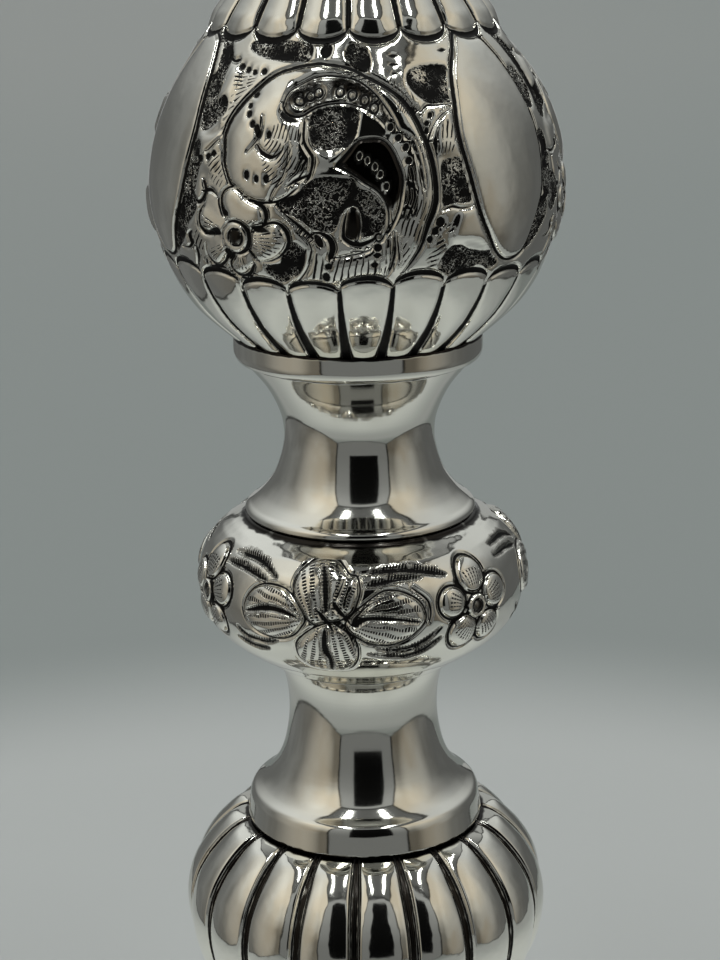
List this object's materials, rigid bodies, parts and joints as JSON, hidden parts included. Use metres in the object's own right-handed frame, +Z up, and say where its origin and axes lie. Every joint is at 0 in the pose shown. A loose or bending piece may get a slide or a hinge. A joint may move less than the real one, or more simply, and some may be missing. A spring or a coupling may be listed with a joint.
{
  "type": "candlestick",
  "caption": "Tall baluster candlestick in chased silver: domed foot, fluted bulb, flowered knop and pear on a tie rod, with a petal drip pan and candle cup that lift out.",
  "frame": {"origin": "centre of the underside of the felt under the foot", "axes": "+Z up along the stem towards the candle, -Y towards the viewer of the picture, +X to the right"},
  "size_m": [0.1494, 0.1494, 0.3574],
  "materials": {
    "silver": "mirror-polished silver, blackened and matted in the chased recesses",
    "steel": "bright zinc-plated",
    "filler": "cast pitch and sand",
    "felt": "dark green felt"
  },
  "bodies": {
    "stick": {"foot": "silver", "foot_rim_wire": "silver", "foot_beading": "silver", "base_weight": "filler", "base_plate": "steel", "felt_pad": "felt", "foot_ring": "silver", "low_spool": "silver", "fluted_bulb": "silver", "mid_spool": "silver", "flowered_knop": "silver", "top_spool": "silver", "pear_collar": "silver", "pear_body": "silver", "neck_ring": "silver", "neck": "silver", "rod_bridge": "steel", "tie_rod": "steel", "rod_washers": "steel", "rod_nuts": "steel"},
    "nozzle": {"drip_pan": "silver", "pan_boss": "silver", "spigot_tube": "silver", "candle_cup": "silver", "cup_beading": "silver"}
  },
  "joints": [
    {"name": "nozzle_lift", "type": "slide", "parent": "stick", "child": "nozzle", "axis": [0, 0, 1], "range_m": [0, 0.06]}
  ]
}
